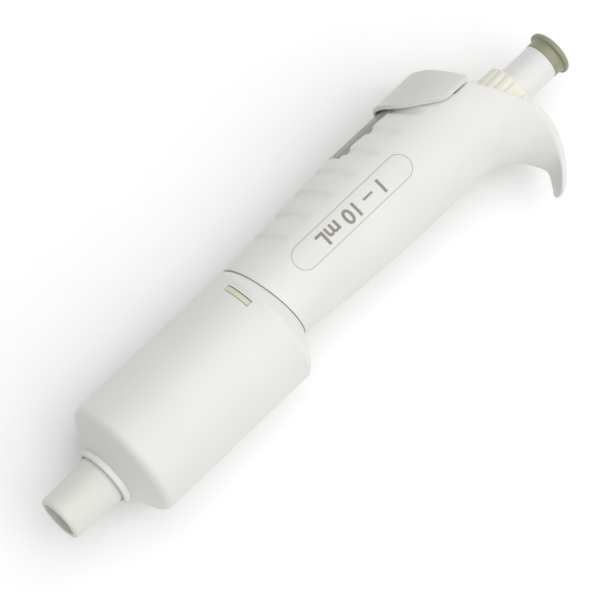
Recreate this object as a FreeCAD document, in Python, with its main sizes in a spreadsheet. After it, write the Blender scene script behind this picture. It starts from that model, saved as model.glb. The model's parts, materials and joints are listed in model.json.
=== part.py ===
import math
import os
import re

import FreeCAD
import Part
import Sketcher

# Adjustable large-volume micropipette, in millimetres.
# Every piece is drawn on the pipette's own axis: X towards the display, Z from the nozzle's end to the button.
# At the end each piece is laid on its side: +X from nozzle to button, +Y towards the display, +Z up.

SIZES = {
    # nozzle and cylinder
    "bore_radius": 6.4, "bore_depth": 9.5, "filter_radius": 5.6, "filter_end": 14.5, "channel_radius": 2.5,
    "land_radius": 8.3, "land_start": 1.0, "land_end": 4.0, "nozzle_radius": 8.95, "nozzle_taper_end": 19.5,
    "cylinder_radius": 17.9, "cylinder_outer": 19.6, "cylinder_start": 31.5, "cylinder_end": 77.0,
    "cap_end": 79.5, "neck_radius": 6.5, "neck_end": 97.4, "operating_radius": 2.5,
    "flare_start": 23.7, "flare_end": 30.2, "spigot_end": 33.5, "groove_low": 31.9, "groove_high": 33.1,
    "groove_depth": 1.1, "cap_depth": 1.5, "gland_depth": 3.2, "coupling_wall": 1.4, "coupling_length": 5.0,
    # clearances: pressed together, sitting loosely, running
    "pressed": 0.02, "seated": 0.05, "running": 0.06,
    # ejector sleeve
    "barrel_radius": 22.0, "sleeve_wall": 1.6, "lip_radius": 10.85, "lip_bore": 9.35, "lip_start": 19.6,
    "lip_end": 21.8, "cone_radius": 10.2, "cone_start": 21.9, "cone_end": 27.7, "shoulder_start": 93.6,
    "rim_radius": 16.4, "rim_centre": 5.5, "rim_height": 98.1, "rim_tilt": 10.0, "rim_gap": 0.45,
    "rim_wedge": 1.2,
    "collar_radius": 15.2, "collar_bore": 13.7, "collar_start": 91.4, "collar_end": 104.0,
    "latch_low": 88.6, "latch_high": 90.4, "latch_angle": 53.5, "latch_span": 29.0, "latch_gap": 0.2,
    "yoke_start": 87.5, "yoke_end": 91.0, "yoke_radius": 20.1, "yoke_bore": 9.9,
    # handle
    "shell_wall": 2.0, "step_front": 12.0, "handle_top": 214.0, "handle_base": 94.0,
    "window_low": 148.4, "window_high": 173.4, "window_half": 7.75, "window_wall": 1.5, "fit_gap": 0.12,
    "label_low": 110.4, "label_high": 163.0, "label_centre": 6.8, "label_half": 4.65, "label_wall": 0.8,
    "ring_hole": 10.2,
    # ejector button, rod and spring
    "button_rear": 12.3, "button_wall": 2.1, "button_centre": 5.2, "button_depth": 21.7, "button_width": 19.4,
    "button_inner_depth": 20.0, "button_inner_width": 17.6, "boss_radius": 2.4, "arm_front": 12.5,
    "arm_end": 14.5, "arm_inner": 9.4, "arm_outer": 11.8, "post_high": 196.2,
    "rod_front": 8.0, "rod_side": 10.6, "rod_radius": 1.5, "rod_low": 87.8, "rod_high": 193.6,
    "arm_low": 191.0, "arm_high": 194.0, "clip_low": 123.0, "clip_high": 124.2,
    "clip_radius": 2.9,
    # chassis and counter
    "plate_low": 97.5, "plate_high": 100.0, "mid_low": 144.4, "mid_high": 147.2, "top_low": 180.3,
    "top_high": 182.8, "rail_inner": 10.7, "rail_outer": 11.9, "rail_end": 194.2, "rail_rear": -1.0,
    "rail_front": 4.0, "plate_front": 17.0, "plate_side": 13.0, "spring_room": 9.0, "shaft_front": 13.5,
    "shaft_radius": 1.0, "drum_radius": 8.8, "drum_start": 148.6, "drum_width": 3.4, "drum_pitch": 3.7,
    "pin_front": 8.5, "pin_side": 10.8, "pin_radius": 0.8, "pinion_radius": 2.1, "pinion_teeth": 8,
    # setting spindle
    "gear_low": 184.5, "gear_thick": 2.0, "spindle_pitch": 9.0, "spindle_teeth": 24, "counter_teeth": 12,
    "spindle_radius": 8.0, "spindle_bore": 6.76, "spindle_start": 171.4, "spindle_end": 208.0,
    "nut_start": 165.0, "nut_floor": 2.0, "nut_end": 180.0, "nut_outer": 10.3, "nut_bore": 8.06,
    "bearing_low": 194.2, "bearing_high": 196.2, "bearing_radius": 10.3,
    "screw_front": 1.5, "screw_radius": 0.4, "screw_head": 0.9, "screw_head_height": 0.6,
    "brake_wire": 0.6, "gear_module": 0.75, "pinion_module": 0.5, "pinion_thick": 2.4,
    "ring_start": 197.5, "ring_end": 211.2, "ring_radius": 9.8, "ring_flutes": 18,
    "flute_centre": 10.3, "flute_radius": 0.95,
    # plunger
    "piston_start": 49.0, "piston_end": 61.0, "piston_radius": 17.4, "seal_low": 50.6, "seal_high": 52.9,
    "seal_radius": 17.84, "groove_radius": 16.2, "rod_end": 196.0, "push_radius": 6.7, "push_start": 183.0,
    "push_end": 225.6, "flange_radius": 8.2, "flange_low": 229.2, "button_end": 232.0,
    "cup_outer": 8.4, "cup_inner": 6.2, "cup_start": 118.0, "cup_end": 142.0, "stop_radius": 4.3,
    # springs
    "main_radius": 4.6, "main_wire": 0.35, "blow_radius": 7.4, "blow_wire": 0.5, "blow_length": 11.9,
    "return_radius": 2.4, "return_wire": 0.3,
}

ORIGIN = FreeCAD.Vector(0, 0, 0)
UPWARD = FreeCAD.Vector(0, 0, 1)
LYING = FreeCAD.Rotation(FreeCAD.Vector(1, 1, 1), 120)  # X to Y, Y to Z, Z to X

document = FreeCAD.newDocument("micropipette")
sheet = document.addObject("Spreadsheet::Sheet", "Dims")
for row, (alias, number) in enumerate(SIZES.items(), start=1):
    sheet.set(f"A{row}", alias)
    sheet.set(f"B{row}", str(number))
    sheet.setAlias(f"B{row}", alias)
document.recompute()
nodes = []


# ---- helpers -------------------------------------------------------------------------------------------

def named(formula):
    """The formula with each size's name pointed at its cell in the sheet."""
    return re.sub(r"[a-z_]+", lambda w: "Dims." + w.group() if w.group() in SIZES else w.group(),
                  str(formula))


def size(formula):
    """A formula's value in millimetres."""
    return float(sheet.evalExpression(named(formula)))


def bind(item, **formulas):
    for name, formula in formulas.items():
        item.setExpression(name.replace("__", "."), named(formula))
    return item


def cylinder(radius, low, high, front="0", side="0"):
    item = document.addObject("Part::Cylinder", "cylinder")
    bind(item, Radius=radius, Height=f"({high}) - ({low})", Placement__Base__z=low)
    return bind(item, Placement__Base__x=front, Placement__Base__y=side)


def tube(outer, inner, low, high, front="0", side="0"):
    return cut(cylinder(outer, low, high, front, side), cylinder(inner, low, high, front, side))


def box(fronts, sides, heights):
    """A block between pairs of limits along the three directions."""
    item = document.addObject("Part::Box", "block")
    for length, axis, (low, high) in zip(("Length", "Width", "Height"), "xyz", (fronts, sides, heights)):
        item.setExpression(length, named(f"({high}) - ({low})"))
        item.setExpression(f"Placement.Base.{axis}", named(low))
    return item


def cut(base, *tools):
    for tool in tools:
        result = document.addObject("Part::Cut", "cut")
        result.Base = base
        result.Tool = tool
        base = result
    return base


def common(base, tool):
    result = document.addObject("Part::Common", "common")
    result.Base = base
    result.Tool = tool
    return result


def fuse(*items):
    result = document.addObject("Part::MultiFuse", "fuse")
    result.Shapes = list(items)
    return result


def body_sketch(body, role):
    plane = [feature for feature in body.Origin.OriginFeatures if feature.Role == role][0]
    sketch = body.newObject("Sketcher::SketchObject", "sketch")
    sketch.AttachmentSupport = [(plane, "")]
    sketch.MapMode = "FlatFace"
    return sketch


def closed_outline(sketch, outline):
    """Straight edges through the outline's points, each point held by its two formulas."""
    places = [FreeCAD.Vector(size(across), size(up), 0) for across, up in outline]
    count = len(places)
    for index in range(count):
        sketch.addGeometry(Part.LineSegment(places[index], places[(index + 1) % count]))
    for index in range(count):
        sketch.addConstraint(Sketcher.Constraint("Coincident", index, 2, (index + 1) % count, 1))
    for index, formulas in enumerate(outline):
        for kind, formula, value in zip(("DistanceX", "DistanceY"), formulas, places[index]):
            number = sketch.addConstraint(Sketcher.Constraint(kind, -1, 1, index, 1, value))
            sketch.setExpression(f"Constraints[{number}]", named(formula))


def turned(outline):
    """A piece turned about the axis from an outline of (radius, height) formulas."""
    body = document.addObject("PartDesign::Body", "turned")
    sketch = body_sketch(body, "XZ_Plane")
    closed_outline(sketch, outline)
    revolution = body.newObject("PartDesign::Revolution", "revolution")
    revolution.Profile = sketch
    revolution.ReferenceAxis = (sketch, ["V_Axis"])
    revolution.Angle = 360
    return body


def side_prism(outline, half_width):
    """A piece cut from the side view, an outline of (front, height) formulas, as wide on both sides."""
    body = document.addObject("PartDesign::Body", "prism")
    sketch = body_sketch(body, "XZ_Plane")
    closed_outline(sketch, outline)
    pad = body.newObject("PartDesign::Pad", "pad")
    pad.Profile = sketch
    pad.Midplane = True
    pad.Length = 2 * half_width
    return body


def spring(coil_radius, wire, low, length, turns):
    """A round-wire compression spring standing on the height low."""
    body = document.addObject("PartDesign::Body", "spring")
    sketch = body_sketch(body, "XZ_Plane")
    centre = FreeCAD.Vector(size(coil_radius), size(f"{low} + {wire}"), 0)
    sketch.addGeometry(Part.Circle(centre, FreeCAD.Vector(0, 0, 1), size(wire)))
    for kind, formula in (("DistanceX", coil_radius), ("DistanceY", f"{low} + {wire}")):
        number = sketch.addConstraint(Sketcher.Constraint(kind, -1, 1, 0, 3, size(formula)))
        sketch.setExpression(f"Constraints[{number}]", named(formula))
    number = sketch.addConstraint(Sketcher.Constraint("Radius", 0, size(wire)))
    sketch.setExpression(f"Constraints[{number}]", named(wire))
    helix = body.newObject("PartDesign::AdditiveHelix", "helix")
    helix.Profile = sketch
    helix.ReferenceAxis = (sketch, ["V_Axis"])
    helix.Mode = 0
    bind(helix, Height=f"{length} - 2 * {wire}", Pitch=f"({length} - 2 * {wire}) / {turns}")
    return body


def toothed(teeth, pitch_radius, bore, thickness, module):
    """A spur gear standing on the XY plane, its teeth repeated about the axis."""
    tooth_low = f"{pitch_radius} - 1.15 * {module}"
    tooth_high = f"{pitch_radius} + 0.8 * {module}"
    half = 0.42 * module * math.pi / 2 / 1.05
    body = document.addObject("PartDesign::Body", "gear")
    disc = body_sketch(body, "XY_Plane")
    for formula in (tooth_low, bore):
        circle = disc.addGeometry(Part.Circle(ORIGIN, UPWARD, size(formula)))
        disc.addConstraint(Sketcher.Constraint("Coincident", circle, 3, -1, 1))
        number = disc.addConstraint(Sketcher.Constraint("Radius", circle, size(formula)))
        disc.setExpression(f"Constraints[{number}]", named(formula))
    pad = body.newObject("PartDesign::Pad", "disc")
    pad.Profile = disc
    bind(pad, Length=thickness)
    flank = math.tan(math.radians(20))
    root_half = half + 1.15 * module * flank
    tip_half = half - 0.8 * module * flank
    inset = f"{tooth_low} - 0.1 * {module}"
    tooth = body_sketch(body, "XY_Plane")
    tooth_outline = [(inset, -root_half), (tooth_low, -root_half), (tooth_high, -tip_half)]
    tooth_outline += [(tooth_high, tip_half), (tooth_low, root_half), (inset, root_half)]
    closed_outline(tooth, tooth_outline)
    tooth_pad = body.newObject("PartDesign::Pad", "tooth")
    tooth_pad.Profile = tooth
    bind(tooth_pad, Length=thickness)
    pattern = body.newObject("PartDesign::PolarPattern", "teeth")
    pattern.Originals = [tooth_pad]
    pattern.Axis = (tooth, ["N_Axis"])
    pattern.Angle = 360
    bind(pattern, Occurrences=teeth)
    body.Tip = pattern
    return body


def node(name, item, front="0", side="0", height="0", turn=0.0):
    """Names a finished piece and notes the place it is drawn for and its turn about its own axis."""
    spin = FreeCAD.Rotation(FreeCAD.Vector(0, 0, 1), turn)
    item.Label = name
    nodes.append((item, FreeCAD.Placement(FreeCAD.Vector(size(front), size(side), size(height)), spin)))


def lay_down(item, place):
    """Moves a finished piece to its place and lays it on its side with the whole pipette."""
    for axis in "xyz":
        item.setExpression(f"Placement.Base.{axis}", None)
    lying = FreeCAD.Placement(FreeCAD.Vector(0, 0, 0), LYING)
    item.Placement = lying.multiply(place).multiply(item.Placement)


def oval_loft(stations):
    """A smooth skin through ovals, each given by its height, centre, half depth and half width."""
    sections = []
    for height, centre, depth, width in stations:
        oval = document.addObject("Part::Ellipse", "oval")
        bind(oval, MajorRadius=depth, MinorRadius=width, Placement__Base__x=centre, Placement__Base__z=height)
        sections.append(oval)
    loft = document.addObject("Part::Loft", "loft")
    loft.Sections = sections
    loft.Solid = True
    loft.Ruled = False
    return loft


def oval_bar(centre, depth, width, low, high):
    """A straight bar of oval section between two heights."""
    oval = document.addObject("Part::Ellipse", "oval")
    bind(oval, MajorRadius=depth, MinorRadius=width, Placement__Base__x=centre, Placement__Base__z=low)
    bar = document.addObject("Part::Extrusion", "bar")
    bar.Base = oval
    bar.DirMode = "Custom"
    bar.Dir = FreeCAD.Vector(0, 0, 1)
    bar.Solid = True
    return bind(bar, LengthFwd=f"({high}) - ({low})")


# the grip's ovals up its length: height, centre, half depth, half width
GRIP_OVALS = [("handle_base", 5.5, 16.2, 16.2), (117, 5.35, 17.85, 16.8), (142, 5.35, 19.4, 17.2),
              (166, 5.2, 19.6, 17.2), (190, 5.15, 19.4, 17.0), ("handle_top", 5.1, 19.0, 16.6)]


def handle_skin(inset):
    """The grip's outer skin, or the same skin set in by a wall."""
    return oval_loft([(height, middle, f"{depth} - ({inset})", f"{width} - ({inset})")
                      for height, middle, depth, width in GRIP_OVALS])


# ---- nozzle, cylinder and sleeve -----------------------------------------------------------------------

def nozzle_pieces():
    node("nozzle_cone", turned([
        ("bore_radius", 0), ("land_radius - 0.5", 0), ("land_radius", "land_start"), ("land_radius", "land_end"),
        ("nozzle_radius", "nozzle_taper_end"), ("nozzle_radius", "flare_start"), ("cylinder_outer", "flare_end"),
        ("cylinder_outer", "cylinder_start"), ("cylinder_radius - seated", "cylinder_start"),
        ("cylinder_radius - seated", "groove_low"), ("cylinder_radius - groove_depth", "groove_low"),
        ("cylinder_radius - groove_depth", "groove_high"), ("cylinder_radius - seated", "groove_high"),
        ("cylinder_radius - seated", "spigot_end"), ("channel_radius", "spigot_end"),
        ("channel_radius", "filter_end"), ("filter_radius", "filter_end"), ("filter_radius", "bore_depth"),
        ("bore_radius", "bore_depth")]))
    node("nozzle_filter", cylinder("filter_radius - seated", "bore_depth + 0.3", "filter_end - 0.2"))
    node("cylinder_seal", tube("cylinder_radius - pressed", "cylinder_radius - groove_depth + pressed",
                               "groove_low + seated", "groove_high - seated"))
    node("piston_cylinder", tube("cylinder_outer", "cylinder_radius", "cylinder_start", "cylinder_end"))
    node("cylinder_cap", turned([
        ("operating_radius + running", "neck_end"), ("neck_radius", "neck_end"), ("neck_radius", "cap_end"),
        ("cylinder_outer", "cap_end"), ("cylinder_outer", "cylinder_end"),
        ("cylinder_radius - seated", "cylinder_end"), ("cylinder_radius - seated", "cylinder_end - cap_depth"),
        ("neck_radius - 1", "cylinder_end - cap_depth"), ("neck_radius - 1", "cylinder_end + gland_depth"),
        ("operating_radius + running", "cylinder_end + gland_depth")]))
    node("rod_seal", tube("neck_radius - 1 - seated", "operating_radius + running", "cylinder_end + 1",
                          "cylinder_end + 3"))
    node("coupling_nut", tube("neck_radius + coupling_wall", "neck_radius + seated",
                              "neck_end - coupling_length", "neck_end"))


def sleeve_shoulder(inset, drop):
    """The slanted shoulder between the round barrel and the grip's tilted round rim."""
    base = document.addObject("Part::Circle", "barrel_circle")
    bind(base, Radius=f"barrel_radius - ({inset})", Placement__Base__z=f"shoulder_start - ({drop})")
    rim = document.addObject("Part::Circle", "rim_circle")
    tilt = FreeCAD.Rotation(FreeCAD.Vector(0, 1, 0), size("rim_tilt"))
    rim.Placement = FreeCAD.Placement(ORIGIN, tilt)
    bind(rim, Radius=f"rim_radius - ({inset})", Placement__Base__x="rim_centre",
         Placement__Base__z=f"rim_height - ({drop})")
    loft = document.addObject("Part::Loft", "shoulder")
    loft.Sections = [base, rim]
    loft.Solid = True
    loft.Ruled = True
    return loft


def latch_sector(outer, inner, low, high, span, centre):
    """A curved tab, a stretch of a ring centred on an angle from the display side."""
    item = cut(cylinder(outer, low, high), cylinder(inner, low, high))
    start = FreeCAD.Rotation(UPWARD, size(f"{centre} - ({span}) / 2"))
    for part in (item.Base, item.Tool):
        bind(part, Angle=span)
        part.Placement = FreeCAD.Placement(ORIGIN, start)
        bind(part, Placement__Base__z=low)
    return item


def ejector_pieces():
    lower = turned([
        ("lip_bore", "lip_start"), ("lip_radius - 0.3", "lip_start"), ("lip_radius", "lip_start + 0.3"),
        ("lip_radius", "lip_end - 0.5"), ("cone_radius", "lip_end"), ("cone_radius", "cone_start"),
        ("barrel_radius - 1.6", "cone_end - 0.7"), ("barrel_radius - 0.5", "cone_end + 0.4"),
        ("barrel_radius", "cone_end + 2"), ("barrel_radius", "shoulder_start"),
        ("barrel_radius - sleeve_wall", "shoulder_start"), ("barrel_radius - sleeve_wall", "cone_end + 1.4"),
        ("lip_bore", "cone_start + 1.3")])
    shoulder = cut(sleeve_shoulder("0", "0"), sleeve_shoulder("sleeve_wall", "0.01"))
    collar_room = cylinder("collar_radius + 0.3", "shoulder_start - 5", "110", "rim_centre")
    slots = [latch_sector("barrel_radius + 1", "yoke_radius - 0.5", "latch_low - latch_gap",
                          "latch_high + latch_gap", "latch_span + 1.2", centre)
             for centre in ("latch_angle", "-latch_angle")]
    node("ejector_sleeve", cut(fuse(lower, shoulder), collar_room, *slots))
    tabs = [latch_sector("barrel_radius - 0.25", "yoke_radius - 1", "latch_low", "latch_high", "latch_span",
                         centre) for centre in ("latch_angle", "-latch_angle")]
    socket = cylinder("rod_radius + seated", "rod_low", "yoke_end", "rod_front", "-rod_side")
    node("latch_yoke", cut(fuse(tube("yoke_radius", "yoke_bore", "yoke_start", "yoke_end"), *tabs), socket))
    node("ejector_rod", cylinder("rod_radius", "rod_low", "rod_high", "rod_front", "-rod_side"))
    node("rod_collar", tube("clip_radius", "rod_radius + pressed", "clip_low", "clip_high",
                            "rod_front", "-rod_side"))
    node("ejector_spring", spring("return_radius", "return_wire", "plate_high", "clip_low - plate_high", 7),
         "rod_front", "-rod_side")
    node("ejector_button", button())


# the button seen from the side, as (front, height), outside and inside
HOOD_OUTSIDE = [("button_rear", 185.9), (17.7, 177.8), (22.0, 172.8), (28.5, 169.6), (28.5, 188.7),
                (24.5, 191.6), ("button_rear", 197.6)]
HOOD_INSIDE = [("button_rear - 1", 160), (30, 160), (30, "186.2 - button_wall"), (24.5, "191.6 - button_wall"),
               ("button_rear - 1", "198.1 - button_wall")]
HALF_SPAN = 25  # wider than any piece, for cuts made right across


def button():
    """The wrap-around button: a slanted hood over the grip's front, with an arm that holds the rod."""
    outer = oval_bar("button_centre", "button_depth", "button_width", 160, 206)
    hood = side_prism(HOOD_OUTSIDE, HALF_SPAN)
    hollow = side_prism(HOOD_INSIDE, HALF_SPAN)
    inside = common(oval_bar("button_centre", "button_inner_depth", "button_inner_width", 155, 210), hollow)
    boss = cylinder("boss_radius", "arm_low", "arm_high", "rod_front", "-rod_side")
    arm = box(("rod_front", "arm_end"), ("-arm_outer", "-arm_inner"), ("arm_low", "arm_high"))
    post = box(("arm_front", "arm_end"), ("-arm_outer", "-arm_inner"), ("arm_low", "post_high"))
    socket = cylinder("rod_radius + pressed", "arm_low", "rod_high + seated", "rod_front", "-rod_side")
    return cut(fuse(cut(common(outer, hood), inside), boss, arm, post), socket)


# ---- handle --------------------------------------------------------------------------------------------

def hook_section(front, half_width, top, edge, keel):
    """One slice across the finger hook: a flat top, straight edges and a rounded underside."""
    low = top - edge
    corners = [(-half_width, low), (-half_width, top), (half_width, top), (half_width, low)]
    places = [FreeCAD.Vector(front, side, height) for side, height in corners]
    middle = FreeCAD.Vector(front, 0, low)
    bottom = FreeCAD.Vector(front, 0, keel)
    side = places[3]
    if low - keel > half_width:
        oval = Part.Ellipse(bottom, side, middle)
        arc = Part.ArcOfEllipse(oval, -math.pi / 2, math.pi / 2)
    else:
        oval = Part.Ellipse(side, bottom, middle)
        arc = Part.ArcOfEllipse(oval, 0, math.pi)
    edges = [Part.LineSegment(places[i], places[i + 1]).toShape() for i in range(3)]
    return Part.Wire(Part.__sortEdges__(edges + [arc.toShape()]))


# the finger hook's slices from inside the grip outwards: front, half width, top, edge height, underside
HOOK_SLICES = [(-6.0, 13.6, 207.9, 2.6, 171.0), (-10.5, 12.8, 209.8, 2.6, 176.5), (-14.3, 12.0, 210.2, 2.6, 184.8),
               (-18.0, 11.2, 209.8, 2.7, 193.0), (-24.0, 9.4, 207.9, 2.8, 198.4), (-30.0, 7.5, 204.6, 2.6, 200.4),
               (-34.5, 6.0, 201.0, 2.4, 198.0), (-37.2, 4.8, 198.4, 2.2, 195.4)]


def finger_hook():
    """The curved rest behind the grip, lofted through its slices."""
    hook = document.addObject("Part::Feature", "finger_hook")
    hook.Shape = Part.makeLoft([hook_section(*slice_sizes) for slice_sizes in HOOK_SLICES], True, False)
    return hook


def capsule(gap, outside):
    """The label's long round-ended outline as a prism on the upper side."""
    radius = f"label_half + ({gap})"
    ends = []
    for height in ("label_low + label_half", "label_high - label_half"):
        end = document.addObject("Part::Cylinder", "label_end")
        end.Placement = FreeCAD.Placement(ORIGIN, FreeCAD.Rotation(FreeCAD.Vector(1, 0, 0), -90))
        bind(end, Radius=radius, Height=outside, Placement__Base__x="label_centre", Placement__Base__z=height)
        ends.append(end)
    middle = box((f"label_centre - ({radius})", f"label_centre + {radius}"), ("0", outside),
                 ("label_low + label_half", "label_high - label_half"))
    return fuse(middle, *ends)


BELOW_REACH = 60  # a block this size clears away everything below the handle's slanted base
# the handle seen from the side, as (front, height): its top and its step under the button, then the room inside
HANDLE_OUTSIDE = [(-30, 80), (35, 80), (35, 162.1), ("step_front", 190.5), ("step_front", 196.8), (-6, 207.6),
                  (-10.5, 209.8), (-30, 209.8)]
HANDLE_INSIDE = [(-30, 80), (35, 80), (35, 230), ("step_front", 230), ("step_front", 194.6), (-6, 205.2),
                 (-30, 205.6)]


def handle_pieces():
    keep = side_prism(HANDLE_OUTSIDE, HALF_SPAN)
    room = side_prism(HANDLE_INSIDE, HALF_SPAN)
    tilt = FreeCAD.Rotation(FreeCAD.Vector(0, 1, 0), size("rim_tilt - rim_wedge"))
    rim_top = FreeCAD.Vector(size("rim_centre"), 0, size("rim_height + rim_gap"))
    below_rim = document.addObject("Part::Box", "below_rim")
    bind(below_rim, Length=2 * BELOW_REACH, Width=2 * BELOW_REACH, Height=BELOW_REACH)
    corner = FreeCAD.Vector(-BELOW_REACH, -BELOW_REACH, -BELOW_REACH)
    below_rim.Placement = FreeCAD.Placement(rim_top + tilt.multVec(corner), tilt)
    outside = fuse(common(cut(handle_skin("0"), below_rim), keep), finger_hook())
    hollow = common(handle_skin("shell_wall"), room)
    window = box((15, 30), ("-window_half", "window_half"), ("window_low", "window_high"))
    label_pocket = cut(capsule("0", "30"), handle_skin("label_wall"))
    ring_hole = cylinder("ring_hole", "190", "230")
    collar = tube("collar_radius", "collar_bore", "collar_start", "collar_end", "rim_centre")
    shell = fuse(cut(outside, hollow, window, label_pocket, ring_hole), collar)
    for name, sides in (("handle_shell_right", (0.01, 40)), ("handle_shell_left", (-40, -0.01))):
        node(name, common(shell, box((-60, 40), sides, (80, 230))))
    lens = box((15, 30), ("-window_half + fit_gap", "window_half - fit_gap"),
               ("window_low + fit_gap", "window_high - fit_gap"))
    node("display_window", common(cut(handle_skin("0"), handle_skin("window_wall")), lens))
    label_skin = cut(handle_skin("0"), handle_skin("label_wall - fit_gap"))
    node("label_inlay", common(label_skin, capsule("-fit_gap", "30")))


# ---- chassis, counter and setting spindle --------------------------------------------------------------

def bearing_holes(low, high, *places):
    return [cylinder(f"{radius} + running", low, high, front, side) for radius, front, side in places]


def chassis_pieces():
    rod_place = ("rod_radius", "rod_front", "-rod_side")
    shaft_place = ("shaft_radius", "shaft_front", "0")
    pin_place = ("pin_radius", "pin_front", "pin_side")
    foot = cut(cylinder("collar_bore - 0.3", "plate_low", "plate_high", "rim_centre"),
               cylinder("operating_radius + 0.5", "plate_low", "plate_high"),
               *bearing_holes("plate_low", "plate_high", rod_place))
    middle = cut(box(("rail_rear", "plate_front"), ("-plate_side", "plate_side"), ("mid_low", "mid_high")),
                 cylinder("spring_room", "mid_low", "mid_high"),
                 *bearing_holes("mid_low", "mid_high", rod_place, shaft_place, pin_place))
    top = cut(box(("rail_rear", "plate_front"), ("-plate_side", "plate_side"), ("top_low", "top_high")),
              cylinder("nut_outer + 0.4", "top_low", "top_high"),
              *bearing_holes("top_low", "top_high", rod_place, shaft_place))
    rails = [box(("rail_rear", "rail_front"), sides, ("plate_high - 1", "rail_end"))
             for sides in (("rail_inner", "rail_outer"), ("-rail_outer", "-rail_inner"))]
    trimmed = [common(plate, handle_skin("shell_wall + 0.3")) for plate in (middle, top)]
    node("chassis", fuse(foot, *trimmed, *rails))
    ears = box(("rail_rear", "rail_front"), ("-rail_outer", "rail_outer"), ("bearing_low", "bearing_high"))
    rail_middle = "(rail_inner + rail_outer) / 2"
    screw_places = [("screw_front", rail_middle), ("screw_front", f"-{rail_middle}")]
    screw_holes = [cylinder("screw_radius + pressed", "bearing_low", "bearing_high", *place)
                   for place in screw_places]
    node("bearing_plate", cut(fuse(cylinder("bearing_radius", "bearing_low", "bearing_high"), ears),
                              cylinder("spindle_radius + running", "bearing_low", "bearing_high"), *screw_holes))
    shanks = [cylinder("screw_radius", "bearing_low", "bearing_high", *place) for place in screw_places]
    heads = [cylinder("screw_head", "bearing_high", "bearing_high + screw_head_height", *place)
             for place in screw_places]
    node("bearing_plate_screws", fuse(*shanks, *heads))
    brake = document.addObject("Part::Torus", "brake")
    bind(brake, Radius1="spindle_radius + brake_wire + 0.25", Radius2="brake_wire",
         Placement__Base__z="bearing_high + brake_wire + pressed")
    node("brake_ring", brake)
    node("transfer_pin", cylinder("pin_radius", "mid_low", "drum_start + 3 * drum_pitch", "pin_front", "pin_side"))


def counter_pieces():
    node("counter_shaft", cylinder("shaft_radius", "mid_low", "gear_low + gear_thick + 0.6", "shaft_front"))
    gear = toothed("counter_teeth", "spindle_pitch / 2", "shaft_radius + pressed", "gear_thick",
                   size("gear_module"))
    node("counter_gear", gear, "shaft_front", "0", "gear_low", 180 / size("counter_teeth"))
    for index, name in enumerate(("digit_drum_tenths", "digit_drum_units", "digit_drum_tens")):
        low = f"drum_start + {index} * drum_pitch"
        node(name, tube("drum_radius", "shaft_radius + running", low, f"{low} + drum_width", "shaft_front"))
    for index, name in enumerate(("transfer_pinion_lower", "transfer_pinion_upper")):
        node(name, toothed("pinion_teeth", "pinion_radius", "pin_radius + running", "pinion_thick",
                           size("pinion_module")),
             "pin_front", "pin_side", f"drum_start + {index} * drum_pitch + drum_width - 1.0")


def setting_pieces():
    node("spindle_gear", toothed("spindle_teeth", "spindle_pitch", "spindle_radius + pressed", "gear_thick",
                   size("gear_module")),
         height="gear_low")
    node("spindle", tube("spindle_radius", "spindle_bore", "spindle_start", "spindle_end"))
    node("spindle_clip", tube("spindle_radius + 1.1", "spindle_radius + pressed", "bearing_low - 1.1",
                              "bearing_low - 0.1"))
    node("stop_nut", turned([
        ("operating_radius + running", "nut_start"), ("nut_outer", "nut_start"), ("nut_outer", "nut_end"),
        ("nut_bore", "nut_end"), ("nut_bore", "nut_start + nut_floor"),
        ("operating_radius + running", "nut_start + nut_floor")]))
    node("adjusting_ring", adjusting_ring())


def adjusting_ring():
    """The fluted ring that a finger turns to set the volume."""
    body = turned([
        ("spindle_radius + pressed", "ring_start"), ("ring_radius - 0.4", "ring_start"),
        ("ring_radius", "ring_start + 0.6"), ("ring_radius", "ring_end - 0.8"), ("ring_radius - 0.8", "ring_end"),
        ("push_radius + 0.3", "ring_end"), ("push_radius + 0.3", "spindle_end"),
        ("spindle_radius + pressed", "spindle_end")])
    flute = body_sketch(body, "XY_Plane")
    flute.addGeometry(Part.Circle(FreeCAD.Vector(size("flute_centre"), 0, 0), FreeCAD.Vector(0, 0, 1),
                                  size("flute_radius")))
    number = flute.addConstraint(Sketcher.Constraint("DistanceX", -1, 1, 0, 3, size("flute_centre")))
    flute.setExpression(f"Constraints[{number}]", named("flute_centre"))
    flute.addConstraint(Sketcher.Constraint("PointOnObject", 0, 3, -1))
    flute.addConstraint(Sketcher.Constraint("Radius", 0, size("flute_radius")))
    pocket = body.newObject("PartDesign::Pocket", "flute")
    pocket.Profile = flute
    pocket.Reversed = True
    bind(pocket, Length="ring_end + 1")
    pattern = body.newObject("PartDesign::PolarPattern", "flutes")
    pattern.Originals = [pocket]
    pattern.Axis = (flute, ["N_Axis"])
    pattern.Angle = 360
    bind(pattern, Occurrences="ring_flutes")
    body.Tip = pattern
    return body


# ---- plunger -------------------------------------------------------------------------------------------

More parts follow.
